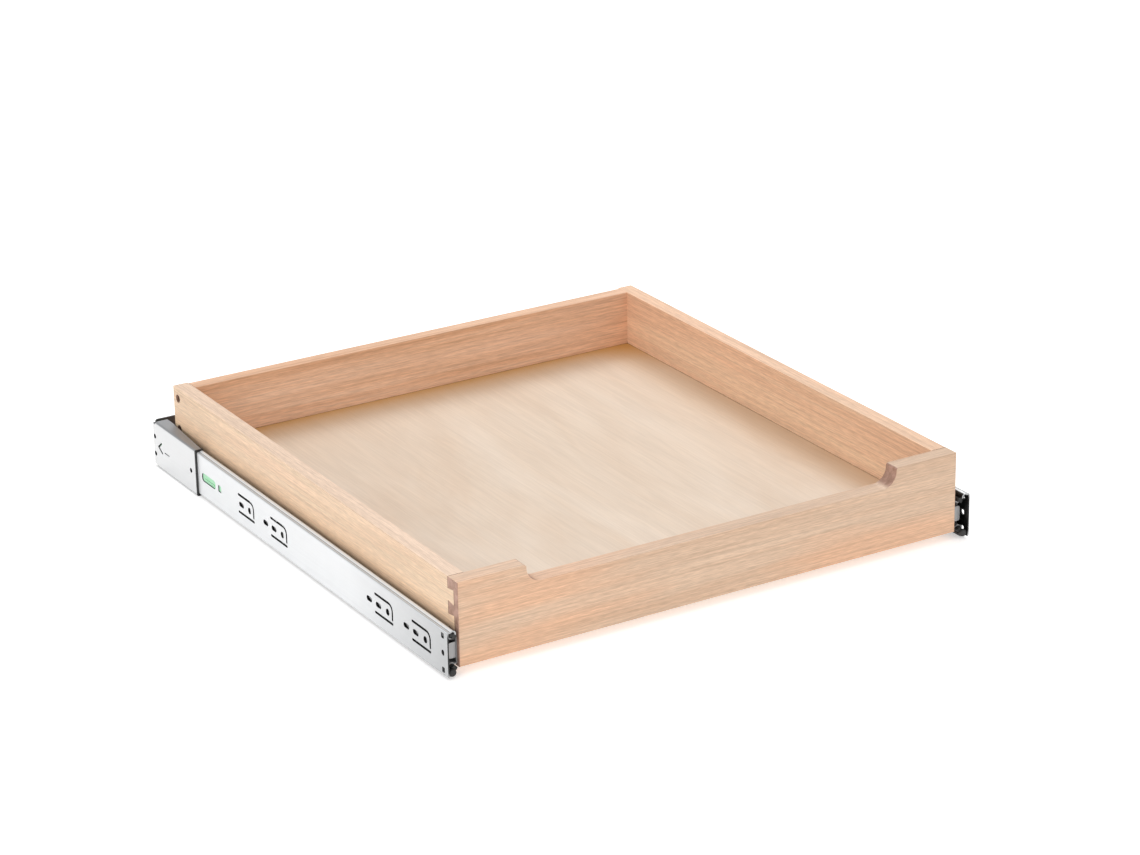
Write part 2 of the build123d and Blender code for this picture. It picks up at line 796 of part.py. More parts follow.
def side_board():
    """The left side: tails in front, a groove for the bottom, counterbored screw holes at the back."""
    outer = -tray_width / 2
    inner = outer + board
    shoulder = tray_front_y + front_board_thickness + shoulder_gap
    part = box((outer, shoulder, tray_z(0)), (inner, tray_rear_y, tray_z(tray_height)))
    long_edges = part.edges().filter_by(Axis.Y)
    part = fillet(long_edges, eased_edge)
    part += Pos(0, shoulder_gap, 0) * tails(0)
    groove_end = tray_rear_y - back_inset - back_board_thickness
    groove_low = (inner - groove_depth, shoulder, tray_z(panel_bottom) - groove_play)
    groove_high = (inner + 1, groove_end, tray_z(panel_bottom + panel_thickness) + groove_play)
    part -= box(groove_low, groove_high)
    for y, z in joint_screw_places():
        part -= rod_along("X", counterbore_radius, outer - 1, outer + counterbore_depth, y, z)
        part -= rod_along("X", joint_screw_shank + 2 * pilot_play, outer, inner + 1, y, z)
    return part - member_screw_holes()


def scoop_cutter():
    """The shallow hand scoop: round lower corners and eased upper ones, right through the front."""
    top = tray_z(tray_height)
    bottom = top - scoop_depth
    half = scoop_mouth_half - scoop_edge
    width = 2 * half
    height = scoop_depth + scoop_corner
    outline = Pos(0, bottom + height / 2) * Rectangle(width, height)
    outline = fillet(outline.vertices().group_by(Axis.Y)[0], scoop_corner)
    for side in (1, -1):
        ease_x = side * (half + scoop_edge)
        ease_z = top - scoop_edge
        ease = Pos(ease_x - side * scoop_edge / 2, ease_z + scoop_edge / 2 + 1)
        corner = ease * Rectangle(scoop_edge, scoop_edge + 2)
        outline += corner - Pos(ease_x, ease_z) * Circle(scoop_edge)
    front_plane = Plane(origin=(0, tray_front_y - 5, 0), x_dir=(1, 0, 0), z_dir=(0, -1, 0))
    return extrude(front_plane * outline, -front_board_thickness - 10)


def front_board():
    """The front: sockets for the tails at both ends, a scoop in its top edge, a groove inside."""
    half = tray_width / 2
    rear = tray_front_y + front_board_thickness
    part = box((-half, tray_front_y, tray_z(0)), (half, rear, tray_z(tray_height)))
    part = fillet(part.edges().group_by(Axis.Y)[0], front_edge)
    part -= scoop_cutter()
    sockets = tails(joint_line)
    part -= sockets + mirror(sockets, about=Plane.YZ)
    return part - panel_groove(rear - groove_depth, rear + 1)


def panel_groove(start, end):
    """The groove for the bottom panel, in the front or back board."""
    half = tray_width / 2 - board
    low = (-half, start, tray_z(panel_bottom) - groove_play)
    return box(low, (half, end, tray_z(panel_bottom + panel_thickness) + groove_play))


def back_board():
    """The back, butted between the sides and screwed through them."""
    half = tray_width / 2 - board
    rear = tray_rear_y - back_inset
    front = rear - back_board_thickness
    part = box((-half, front, tray_z(0)), (half, rear, tray_z(tray_height)))
    part = fillet(part.edges().filter_by(Axis.X), eased_edge)
    part -= panel_groove(front - 1, front + groove_depth)
    for y, z in joint_screw_places():
        for side in (1, -1):
            inner_end = side * (tray_width / 2 - joint_screw_reach - 1)
            ends = sorted((inner_end, side * tray_width / 2))
            part -= rod_along("X", joint_screw_shank + pilot_play, *ends, y, z)
    return part


def bottom_panel():
    """Plywood bottom, held in grooves all round, with its corners cut back."""
    wide = tray_width / 2 - board + groove_depth - groove_play
    narrow = tray_width / 2 - board - groove_play
    inner_front = tray_front_y + front_board_thickness
    inner_rear = tray_rear_y - back_inset - back_board_thickness
    reach = groove_depth - groove_play
    low_z = tray_z(panel_bottom)
    high_z = low_z + panel_thickness
    start = inner_front + shoulder_gap + joint_line
    part = box((-wide, start, low_z), (wide, inner_rear - groove_play, high_z))
    return part + box((-narrow, inner_front - reach, low_z), (narrow, inner_rear + reach, high_z))


def back_joint_screws():
    """Countersunk screws, two through each side into the back board's ends."""
    screws = []
    seat = -tray_width / 2 + counterbore_depth
    for y, z in joint_screw_places():
        head_top = seat - joint_screw_head_height
        head = rod_along("X", joint_screw_head, head_top, seat, y, z)
        head = fillet(head.edges().group_by(Axis.X)[0], joint_screw_head_edge)
        half = square_socket / 2
        socket = box((head_top - 1, y - half, z - half), (head_top + square_socket_depth, y + half, z + half))
        shank = rod_along("X", joint_screw_shank, seat, -tray_width / 2 + joint_screw_reach, y, z)
        screw = head - socket + shank
        screws += [screw, mirror(screw, about=Plane.YZ)]
    return Compound(children=screws)


# ---------------------------------------------------------------- everything, node by node

outer_reach = outer_ball[0] + 1.5
inner_reach = inner_ball[0] + 1.2
outer_cage = retainer_path(outer_retainer_web, outer_ball, outer_reach)
inner_cage = retainer_path(inner_retainer_web, inner_ball, inner_reach)
slide_parts = {
    "cabinet_member": cabinet_member(),
    "intermediate_member": intermediate_member(),
    "drawer_member": drawer_member(),
    "outer_ball_retainer": ball_retainer(
        outer_cage, outer_retainer_sheet, outer_ball, ball_radius, lightening_windows()
    ),
    "inner_ball_retainer": ball_retainer(
        inner_cage, inner_retainer_sheet, inner_ball, inner_ball_radius, lightening_holes()
    ),
    "outer_balls": ball_set(outer_ball, ball_radius),
    "inner_balls": ball_set(inner_ball, inner_ball_radius),
    "slide_bumpers": slide_bumpers(),
    "drawer_member_screws": member_fasteners(),
    "striker_pin": striker_pin(),
    "release_lever": release_lever(),
    "lever_rivet": lever_rivet(),
    "soft_close_housing": soft_close_housing(),
    "soft_close_carriage": soft_close_carriage(),
    "damper_cylinder": damper_cylinder(),
    "damper_rod": damper_rod(),
    "closing_springs": closing_springs(),
    "rear_bracket": rear_bracket(),
    "bracket_liner": bracket_liner(),
}

side_left = side_board()
nodes = {
    "side_left": side_left,
    "side_right": mirror(side_left, about=Plane.YZ),
    "front_board": front_board(),
    "back_board": back_board(),
    "bottom_panel": bottom_panel(),
    "back_joint_screws": back_joint_screws(),
}
for part_name, slide_part in slide_parts.items():
    left = place_left(slide_part)
    nodes[part_name + "_left"] = left
    nodes[part_name + "_right"] = mirror(left, about=Plane.YZ)

os.makedirs("parts", exist_ok=True)
for node_name, node_shape in nodes.items():
    export_step(node_shape, "parts/" + node_name + ".step")
    print(node_name, len(node_shape.solids()), round(node_shape.volume))
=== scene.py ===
import math

import bpy
from mathutils import Matrix, Vector


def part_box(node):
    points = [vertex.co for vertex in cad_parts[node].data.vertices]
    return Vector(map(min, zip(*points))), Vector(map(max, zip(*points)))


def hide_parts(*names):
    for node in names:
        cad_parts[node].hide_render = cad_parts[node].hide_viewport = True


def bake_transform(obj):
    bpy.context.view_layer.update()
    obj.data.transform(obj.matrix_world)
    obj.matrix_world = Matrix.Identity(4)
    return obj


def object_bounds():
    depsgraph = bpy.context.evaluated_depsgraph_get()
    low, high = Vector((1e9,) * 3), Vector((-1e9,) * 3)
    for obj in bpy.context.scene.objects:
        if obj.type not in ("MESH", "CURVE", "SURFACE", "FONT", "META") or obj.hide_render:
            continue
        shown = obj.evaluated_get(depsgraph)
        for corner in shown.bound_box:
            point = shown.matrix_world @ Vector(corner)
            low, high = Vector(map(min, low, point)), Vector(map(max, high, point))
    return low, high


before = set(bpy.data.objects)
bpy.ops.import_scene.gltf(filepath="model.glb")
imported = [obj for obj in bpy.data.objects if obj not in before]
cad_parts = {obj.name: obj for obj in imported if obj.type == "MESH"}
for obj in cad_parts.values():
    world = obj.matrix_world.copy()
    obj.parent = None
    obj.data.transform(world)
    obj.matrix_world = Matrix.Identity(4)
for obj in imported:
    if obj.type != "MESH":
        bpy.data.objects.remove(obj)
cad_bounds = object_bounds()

# A wooden roll-out tray on two ball-bearing slides. The CAD nodes keep their shapes and get procedural
# materials here. Metres, in the CAD model's frame: the tray's front faces -Y.

scene = bpy.context.scene
SIDES = ("left", "right")
BRACKET_STAND_OFF = 0.002  # the brackets' outer faces stand this far outside the slides' wall faces

# ---------------------------------------------------------------- camera

CAMERA_PLACE = Vector((-1.4765, -2.4941, 1.2239))
CAMERA_AZIMUTH = -31.0
CAMERA_ELEVATION = 21.7
CAMERA_ROLL = 0.98
CAMERA_LENS = 109.5
CAMERA_CLIP_END = 50.0
SENSOR_WIDTH = 36.0


def camera_axes(azimuth, elevation, roll):
    """The camera's right, up and backward directions, from its angles in degrees."""
    az, el, turn = (math.radians(angle) for angle in (azimuth, elevation, roll))
    back = Vector((math.sin(az) * math.cos(el), -math.cos(az) * math.cos(el), math.sin(el)))
    right = (-back).cross(Vector((0, 0, 1))).normalized()
    down = (-back).cross(right)
    rolled_right = math.cos(turn) * right + math.sin(turn) * down
    rolled_down = -math.sin(turn) * right + math.cos(turn) * down
    return rolled_right, -rolled_down, back


def make_camera():
    """The camera, looking at the part from its left front corner and a little above."""
    data = bpy.data.cameras.new("camera")
    data.lens = CAMERA_LENS
    data.sensor_width = SENSOR_WIDTH
    data.clip_end = CAMERA_CLIP_END
    camera = bpy.data.objects.new("camera", data)
    scene.collection.objects.link(camera)
    right, up, back = camera_axes(CAMERA_AZIMUTH, CAMERA_ELEVATION, CAMERA_ROLL)
    turn = Matrix((right, up, back)).transposed().to_4x4()
    camera.matrix_world = Matrix.Translation(CAMERA_PLACE) @ turn
    scene.camera = camera


# ---------------------------------------------------------------- lights and floor

WHITE = (1.0, 1.0, 1.0)
WARM_WHITE = (1.0, 0.985, 0.96)
LIGHTS_AIM = (0, 0, 0.03)
# Each light's name, place, size, power in watts and colour.
AREA_LIGHTS = (
    ("key_light", (1.0, 1.5, 1.7), (0.9, 0.9), 18.5, WARM_WHITE),
    ("top_light", (-0.2, -0.2, 2.4), (2.4, 2.4), 12.7, WHITE),
    ("left_light", (-2.2, -0.9, 0.9), (1.6, 1.2), 16.5, WHITE),
    ("front_light", (0.3, -2.6, 1.0), (2.0, 1.0), 4.5, WHITE),
)
WORLD_STRENGTH = 0.58
FLOOR_REACH = 6.0
FLOOR_COLOUR = (0.93, 0.93, 0.93)
FLOOR_ROUGHNESS = 0.7
FLOOR_GLOW = 0.42


def area_light(name, place, size, power, colour):
    """A rectangular light that looks at the middle of the part."""
    data = bpy.data.lights.new(name, "AREA")
    data.shape = "RECTANGLE"
    data.size, data.size_y = size
    data.energy = power
    data.color = colour
    light = bpy.data.objects.new(name, data)
    light.location = place
    light.rotation_euler = (Vector(LIGHTS_AIM) - Vector(place)).to_track_quat("-Z", "Y").to_euler()
    scene.collection.objects.link(light)


def make_studio():
    """Soft studio light from four sides, in a white world."""
    for settings in AREA_LIGHTS:
        area_light(*settings)
    world = bpy.data.worlds.new("studio")
    world.use_nodes = True
    background = world.node_tree.nodes["Background"]
    background.inputs["Color"].default_value = (*WHITE, 1)
    background.inputs["Strength"].default_value = WORLD_STRENGTH
    scene.world = world
    scene.view_settings.view_transform = "Standard"


def make_floor():
    """A plain pale floor with a faint glow, under everything."""
    reach = FLOOR_REACH
    mesh = bpy.data.meshes.new("floor")
    corners = [(-reach, -reach, 0), (reach, -reach, 0), (reach, reach, 0), (-reach, reach, 0)]
    mesh.from_pydata(corners, [], [(0, 1, 2, 3)])
    floor = bpy.data.objects.new("floor", mesh)
    scene.collection.objects.link(floor)
    g = Graph("pale_floor")
    g.shader.inputs["Emission Color"].default_value = (*WHITE, 1)
    g.shader.inputs["Emission Strength"].default_value = FLOOR_GLOW
    mesh.materials.append(g.dress(FLOOR_COLOUR, FLOOR_ROUGHNESS))


# ---------------------------------------------------------------- node helpers

OPENNESS_SAMPLES = 8
NOISE_SPREAD = (0.3, 0.7)  # nearly all of a noise's values lie between these
SQUARE_ON = (0.3, 0.7)  # facing() is below the first on faces edge-on to an axis, above the second on others
MIX_FACTOR, MIX_FIRST, MIX_SECOND, MIX_RESULT = 0, 6, 7, 2  # a colour Mix node's own sockets


class Graph:
    """A small helper that makes a material's nodes and joins them up."""

    def __init__(self, name):
        self.material = bpy.data.materials.new(name)
        self.material.use_nodes = True
        self.nodes = self.material.node_tree.nodes
        self.links = self.material.node_tree.links
        self.shader = self.nodes["Principled BSDF"]

    def node(self, kind, **settings):
        """A new node of a kind, with its own settings such as operation or blend_type."""
        made = self.nodes.new(kind)
        for key, value in settings.items():
            setattr(made, key, value)
        return made

    def join(self, source, target):
        """A link from one node's output to another's input."""
        self.links.new(source, target)

    def position(self, scale=(1, 1, 1), shift=(0, 0, 0)):
        """The point in the object's own frame, scaled per axis."""
        coords = self.node("ShaderNodeTexCoord")
        mapping = self.node("ShaderNodeMapping")
        mapping.inputs["Scale"].default_value = scale
        mapping.inputs["Location"].default_value = shift
        self.join(coords.outputs["Object"], mapping.inputs["Vector"])
        return mapping.outputs["Vector"]

    def noise(self, vector, scale, detail=2.0, rough=0.5, distortion=0.0):
        """Soft random clouds, from 0 to 1."""
        noise = self.node("ShaderNodeTexNoise")
        noise.inputs["Scale"].default_value = scale
        noise.inputs["Detail"].default_value = detail
        noise.inputs["Roughness"].default_value = rough
        noise.inputs["Distortion"].default_value = distortion
        self.join(vector, noise.inputs["Vector"])
        return noise.outputs["Fac"]

    def grain(self, along_axis, pattern, shift=(0, 0, 0), **settings):
        """Noise stretched along X or Y; pattern gives its cycles per metre across and along the grain."""
        across, along = pattern
        scale = (along, across, across) if along_axis == "X" else (across, along, across)
        return self.noise(self.position(scale, shift), 1.0, **settings)

    def ramp(self, factor, stops):
        """Colours blended between stops, each a place from 0 to 1 and an RGB colour."""
        ramp = self.node("ShaderNodeValToRGB")
        elements = ramp.color_ramp.elements
        while len(elements) < len(stops):
            elements.new(0.5)
        for element, (place, colour) in zip(elements, stops):
            element.position = place
            element.color = (*colour, 1)
        self.join(factor, ramp.inputs["Fac"])
        return ramp.outputs["Color"]

    def grey_ramp(self, factor, low, high, dark=0.0, light=1.0):
        """A grey that goes from dark at low to light at high."""
        return self.ramp(factor, [(low, (dark,) * 3), (high, (light,) * 3)])

    def put(self, value, socket):
        """Sets a socket to a number or an RGB colour, or joins another node's output to it."""
        if isinstance(value, tuple):
            socket.default_value = (*value, 1)
        elif isinstance(value, (int, float)):
            socket.default_value = value
        else:
            self.join(value, socket)

    def mix(self, factor, first, second, blend="MIX"):
        """The first colour where factor is 0 and the second where it is 1."""
        mix = self.node("ShaderNodeMix", data_type="RGBA", blend_type=blend)
        for value, place in ((factor, MIX_FACTOR), (first, MIX_FIRST), (second, MIX_SECOND)):
            self.put(value, mix.inputs[place])
        return mix.outputs[MIX_RESULT]

    def multiply(self, first, second, strength=1.0):
        """The first colour darkened or brightened by the second."""
        return self.mix(strength, first, second, "MULTIPLY")

    def normal(self, axis):
        """The surface normal's share along an axis of the object, from -1 to 1."""
        coords = self.node("ShaderNodeTexCoord")
        split = self.node("ShaderNodeSeparateXYZ")
        self.join(coords.outputs["Normal"], split.inputs["Vector"])
        return split.outputs[axis]

    def facing(self, axis):
        """How squarely the surface faces along an axis of the object, from 0 to 1."""
        return self.maths("ABSOLUTE", self.normal(axis))

    def along(self, axis):
        """The point's place along an axis of the object, in metres."""
        split = self.node("ShaderNodeSeparateXYZ")
        self.join(self.position(), split.inputs["Vector"])
        return split.outputs[axis]

    def openness(self, reach):
        """1 on open surfaces, falling to 0 in corners, gaps and hollows no deeper than reach."""
        shade = self.node("ShaderNodeAmbientOcclusion", samples=OPENNESS_SAMPLES)
        shade.inputs["Distance"].default_value = reach
        return shade.outputs["AO"]

    def maths(self, operation, first, second=0.0):
        """One sum on numbers or on other nodes' outputs."""
        node = self.node("ShaderNodeMath", operation=operation)
        self.put(first, node.inputs[0])
        self.put(second, node.inputs[1])
        return node.outputs[0]

    def bump(self, height, strength, distance):
        """Fine relief, only as deep as distance in metres."""
        bump = self.node("ShaderNodeBump")
        bump.inputs["Strength"].default_value = strength
        bump.inputs["Distance"].default_value = distance
        self.join(height, bump.inputs["Height"])
        self.join(bump.outputs["Normal"], self.shader.inputs["Normal"])

    def dress(self, colour, roughness):
        """Puts the colour and the roughness on the shader, and gives back the finished material."""
        self.put(colour, self.shader.inputs["Base Color"])
        self.put(roughness, self.shader.inputs["Roughness"])
        return self.material


# ---------------------------------------------------------------- wood

# Grain patterns: cycles per metre across and along the grain.
SWAY = (30.0, 1.1)
GROWTH_BANDS = (150.0, 4.2)
BLUSH_PATCHES = (26.0, 3.0)
FINE_LINES = (620.0, 7.0)
FLECKS = (1300.0, 90.0)
END_RINGS = (190.0, 60.0)
END_PORES = (900.0, 900.0)

END_RING_DARK = (0.33, 0.19, 0.135)
END_RING_PALE = (0.47, 0.285, 0.22)
JOINT_SHADE_BROWN = (0.20, 0.085, 0.035)
JOINT_SHADE_REACH = 0.003  # gaps up to this wide get painted shade, drawn as dark joint lines
TOP_FACE = (0.6, 0.95)  # facing() up, between a side's faces and its top edge
END_FACE = (0.2, 0.5)  # facing() along the grain, between a board's long faces and its ends
LOW_WARM_LIGHT_BAND = (0.043, 0.06)  # the heights between which a side's warm low band, also painted lighter against the slide's shadow, fades out
GRAIN_DEPTH = 0.0002
WOOD_RELIEF = 0.2
WOOD_SPECULAR = 0.35
WOOD_ROUGHNESS = (0.52, 0.42)  # in the grain's dark lines, and between them


def long_grain(g, grain, pale, mid, dark, blush, shift):
    """Growth bands that sway slowly along the grain, with patches of a redder blush."""
    sway = g.grain(grain, SWAY, shift)
    bands = g.grain(grain, GROWTH_BANDS, shift, detail=3.0, rough=0.55, distortion=0.4)
    figure = g.maths("ADD", g.maths("MULTIPLY", bands, 0.4), g.maths("MULTIPLY", sway, 0.6))
    base = g.ramp(figure, [(0.34, pale), (0.5, mid), (0.66, dark)])
    patches = g.grey_ramp(g.grain(grain, BLUSH_PATCHES, shift), 0.5, 0.66, dark=0.0, light=0.6)
    return g.mix(patches, base, blush)


def end_grain(g, grain, shift):
    """Dark, porous wood with rings, as on the sawn ends of a board."""
    rings = g.grey_ramp(g.grain(grain, END_RINGS, shift), 0.35, 0.65)
    pores = g.grain(grain, END_PORES, shift, detail=3.0, rough=0.6)
    tone = g.grey_ramp(pores, 0.35, 0.65, dark=0.85, light=1.1)
    return g.multiply(g.mix(rings, END_RING_DARK, END_RING_PALE), tone, strength=0.7)


def solid_wood(name, grain, pale, mid, dark, blush, shift, low_warmth_and_light=None, top_tint=None):
    """Lacquered beech-like hardwood: growth bands, fine straight grain, pale flecks and dark end grain."""
    g = Graph(name)
    base = long_grain(g, grain, pale, mid, dark, blush, shift)
    # Painted light: the low band is warmer and is also lifted brighter to offset the shadow cast by the
    # slide.
    if low_warmth_and_light:
        base = g.mix(g.grey_ramp(g.along("Z"), *LOW_WARM_LIGHT_BAND, dark=1.0, light=0.0), base, low_warmth_and_light)
    if top_tint:
        base = g.mix(g.grey_ramp(g.facing("Z"), *TOP_FACE), base, top_tint)
    lines = g.grain(grain, FINE_LINES, shift, detail=3.0, rough=0.6, distortion=0.2)
    base = g.multiply(base, g.grey_ramp(lines, 0.36, 0.62, dark=0.86, light=1.08), strength=0.85)
    flecks = g.grain(grain, FLECKS, shift)
    base = g.multiply(base, g.grey_ramp(flecks, 0.38, 0.66, dark=0.9, light=1.12), strength=0.9)
    base = g.mix(g.grey_ramp(g.facing(grain), *END_FACE), base, end_grain(g, grain, shift))
    # Painted shade: narrow gaps and inner corners at the joints turn dark brown.
    joint_shade = g.grey_ramp(g.openness(JOINT_SHADE_REACH), 0.05, 0.5, dark=0.85, light=0.0)
    base = g.mix(joint_shade, base, JOINT_SHADE_BROWN)
    g.bump(g.maths("ADD", lines, flecks), WOOD_RELIEF, GRAIN_DEPTH)
    g.shader.inputs["Specular IOR Level"].default_value = WOOD_SPECULAR
    return g.dress(base, g.grey_ramp(lines, *NOISE_SPREAD, *WOOD_ROUGHNESS))


def left_wood():
    """The left side: pale, and warmer low down beside its slide, where it is also painted lighter against
    the slide's shadow.
    """
    return solid_wood(
        "side_wood_left",
        "Y",
        pale=(0.80, 0.63, 0.46),
        mid=(0.74, 0.55, 0.38),
        dark=(0.66, 0.45, 0.30),
        blush=(0.76, 0.52, 0.36),
        shift=(0.15, 0.6, 0.42),
        low_warmth_and_light=(1.0, 0.70, 0.47),
        top_tint=(0.80, 0.59, 0.44),
    )


def right_wood():
    """The right side: warmer than the left one."""
    return solid_wood(
        "side_wood_right",
        "Y",
        pale=(0.90, 0.64, 0.44),
        mid=(0.84, 0.56, 0.38),
        dark=(0.77, 0.48, 0.31),
        blush=(0.86, 0.53, 0.35),
        shift=(0.71, 0.1, 0.93),
    )


def front_wood():
    """The front board: the palest and greyest."""
    return solid_wood(
        "front_wood",
        "X",
        pale=(0.71, 0.52, 0.375),
        mid=(0.665, 0.465, 0.325),
        dark=(0.61, 0.40, 0.265),
        blush=(0.80, 0.46, 0.28),
        shift=(0.37, 0.2, 0.11),
    )


def back_wood():
    """The back board: the darkest and reddest."""
    return solid_wood(
        "back_wood",
        "X",
        pale=(0.90, 0.62, 0.45),
        mid=(0.79, 0.485, 0.31),
        dark=(0.69, 0.39, 0.23),
        blush=(0.84, 0.55, 0.39),
        shift=(0.83, 0.5, 0.31),
    )


# Patterns of the plywood's face veneer: cycles per metre across and along its grain.
VENEER_CLOUDS = (7.0, 2.6)
VENEER_FIGURE = (60.0, 9.0)
VENEER_LINES = (620.0, 14.0)
PLIES_PER_METRE = 170.0
PLY_PALE = (0.76, 0.60, 0.45)
PLY_DARK = (0.52, 0.34, 0.21)
PLY_GOLD_SHADOW = (0.56, 0.30, 0.085)
PLY_GOLD_SHADOW_REACH = 0.05
PLY_GOLD_SHADOW_BACK = (0.01, 0.09)  # the painted golden shadow is full this near to the back edge, and weak this far off
PLY_JOINT_SHADE_BROWN = (0.16, 0.07, 0.025)
PLY_RELIEF = 0.08
PLY_SPECULAR = 0.4
PLY_ROUGHNESS = (0.42, 0.52)


def ply_layers(g):
    """The panel's cut edge: pale and dark plies in turn."""
    plies = g.node("ShaderNodeTexWave", wave_type="BANDS", bands_direction="Z", wave_profile="SIN")
    plies.inputs["Scale"].default_value = 1.0
    g.join(g.position((1, 1, PLIES_PER_METRE)), plies.inputs["Vector"])
    return g.mix(plies.outputs["Fac"], PLY_PALE, PLY_DARK)


def panel_ply():
    """Rotary-cut birch veneer: pale, with soft swirls and a fine grain from front to back, a painted golden
    shadow along the back edge and painted shade in its joints.
    """
    g = Graph("panel_ply")
    cloud = g.grain("Y", VENEER_CLOUDS, detail=4.0, rough=0.55, distortion=1.4)
    veneer = [(0.36, (0.75, 0.615, 0.49)), (0.5, (0.725, 0.58, 0.45)), (0.66, (0.70, 0.54, 0.405))]
    base = g.ramp(cloud, veneer)
    figure = g.grain("Y", VENEER_FIGURE, detail=3.0, rough=0.6, distortion=1.1)
    base = g.multiply(base, g.grey_ramp(figure, 0.38, 0.66, dark=0.95, light=1.04), strength=0.6)
    lines = g.grain("Y", VENEER_LINES, detail=3.0, rough=0.6, distortion=0.1)
    base = g.multiply(base, g.grey_ramp(lines, 0.36, 0.66, dark=0.94, light=1.05), strength=0.7)
    base = g.mix(g.grey_ramp(g.facing("Z"), *SQUARE_ON), ply_layers(g), base)
    # Painted shadow: a golden shade in the hollows near the back board, where the occlusion mask falls.
    from_back = g.maths("SUBTRACT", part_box("bottom_panel")[1].y, g.along("Y"))
    near_back = g.grey_ramp(from_back, *PLY_GOLD_SHADOW_BACK, dark=1.0, light=0.35)
    hollow_shade = g.grey_ramp(g.openness(PLY_GOLD_SHADOW_REACH), 0.45, 1.0, dark=1.0, light=0.0)
    base = g.mix(g.maths("MULTIPLY", hollow_shade, near_back), base, PLY_GOLD_SHADOW)
    # Painted shade: a dark brown line in the panel's joints and inner corners.
    joint_shade = g.grey_ramp(g.openness(JOINT_SHADE_REACH), 0.4, 0.8, dark=0.8, light=0.0)
    base = g.mix(joint_shade, base, PLY_JOINT_SHADE_BROWN)
    g.bump(lines, PLY_RELIEF, GRAIN_DEPTH)
    g.shader.inputs["Specular IOR Level"].default_value = PLY_SPECULAR
    return g.dress(base, g.grey_ramp(cloud, 0.2, 0.8, *PLY_ROUGHNESS))


# ---------------------------------------------------------------- metals, rubber and plastics

# Painted reflection bands across a slide's flange, by distance from the wall face in metres: painted
# highlight and shade for the sharp corner, the groove's dark line, the bright crown over the balls, and the
# dark lip beside the tray.
FLANGE_REFLECTION_TONES = (
    (0.0004, 0.8),
    (0.0008, 0.45),
    (0.0012, 0.85),
    (0.0018, 0.8),
    (0.0024, 0.25),
    (0.0030, 1.0),
    (0.0050, 1.0),
    (0.0058, 0.45),
    (0.0064, 0.2),
    (0.0072, 0.4),
)
FLANGE_REFLECTION_SPAN = 0.01  # the tones are spread over this width
FLANGE_ZINC = (0.89, 0.92, 0.95)
FRONT_FADE_LENGTH = 0.17  # the slide's web is darker towards its front end, over this length
FRONT_FADE_TONE = 0.62
WEB_FLAT_HALF = (0.0188, 0.0192)  # half the height of the web's flat part, between its bends
WEB_DEPTH = (0.00115, 0.00125)  # the web's thickness, just inside and just past it
BRACKET_GROOVE_DEPTH = (0.0002, 0.00035)
DEPTH_GAIN = 100.0  # lifts depths of a millimetre or so well into a ramp's range from 0 to 1
FLANGE_FACE = (0.2, 0.5)  # facing() up or down, between the web and a flange
FLAT_FACE = (0.8, 0.95)  # facing() sideways, between the bends and the bracket's flat web
INWARD_FACE = (0.3, 0.6)

ROLLED_STREAKS = (700.0, 10.0)
ROLLED_MOTTLE = 45.0
ROLLED_DEPTH = 0.0001
ROLLED_RELIEF = 0.03
ROLLED_METALLIC = 0.45
STREAK_ROUGHNESS = 0.12  # how far the streaks spread the roughness
MOTTLE_ROUGHNESS = 0.1  # how far the mottle spreads it
MEMBER_ROUGHNESS = 0.36
METAL_MOTTLE = 160.0
METAL_SPREAD = (-0.06, 0.08)  # how far the mottle takes a plain metal's roughness down and up
# Painted shade: a near-black colour laid by an occlusion mask in the steel's hollows, slits and gaps.
OCCLUSION_SHADE_REACH = 0.008
OCCLUSION_SHADE_FULL = 0.97
OCCLUSION_SHADE = (0.008, 0.008, 0.008)
# Painted shade: black laid on the slide's pierced edges and inward-facing faces.
HOLLOW_SHADE_BLACK = (0.006, 0.006, 0.006)
# Painted shade on the bracket: its up-facing flanges, forward-facing plate, pressed arrow groove and inward
# faces are darkened copies of the zinc.
BRACKET_FLANGE_SHADE_GREY = (0.5, 0.51, 0.53)
BRACKET_PLATE_SHADE_GREY = (0.13, 0.13, 0.135)
BRACKET_GROOVE_SHADE_GREY = (0.12, 0.12, 0.12)
BRACKET_INSIDE_SHADE_BLACK = (0.02, 0.02, 0.02)


def rolled_steel(name, colour, roughness, shade=None, metallic=ROLLED_METALLIC, occlusion_shade=OCCLUSION_SHADE_FULL):
    """Zinc-plated rolled strip: faint streaks along Y, a light mottle, and painted shade, near black, inside
    its hollows.
    """
    g = Graph(name)
    streak = g.grain("Y", ROLLED_STREAKS)
    mottle = g.noise(g.position(), ROLLED_MOTTLE, detail=3.0)
    streak_tone = g.grey_ramp(streak, *NOISE_SPREAD, dark=0.95, light=1.02)
    mottle_tone = g.grey_ramp(mottle, *NOISE_SPREAD, dark=0.96, light=1.02)
    base = g.multiply(colour, g.mix(0.5, streak_tone, mottle_tone))
    if shade:
        base = shade(g, base)
    # Painted shade: hollows, slits and gaps turn near black where the occlusion mask falls.
    base = g.mix(g.grey_ramp(g.openness(OCCLUSION_SHADE_REACH), 0.25, 0.65, dark=occlusion_shade, light=0.0), base, OCCLUSION_SHADE)
    streaky = g.maths("MULTIPLY", streak, STREAK_ROUGHNESS)
    mottled = g.maths("MULTIPLY", mottle, MOTTLE_ROUGHNESS)
    mean_spread = (STREAK_ROUGHNESS + MOTTLE_ROUGHNESS) / 2
    g.shader.inputs["Metallic"].default_value = metallic
    g.bump(streak, ROLLED_RELIEF, ROLLED_DEPTH)
    return g.dress(base, g.maths("ADD", g.maths("ADD", streaky, mottled), roughness - mean_spread))


def wall_distance(g):
    """How far the point lies in from the nearer wall face, in metres."""
    wall = max(abs(cad_bounds[0][0]), abs(cad_bounds[1][0])) - BRACKET_STAND_OFF
    return g.maths("SUBTRACT", wall, g.maths("ABSOLUTE", g.along("X")))


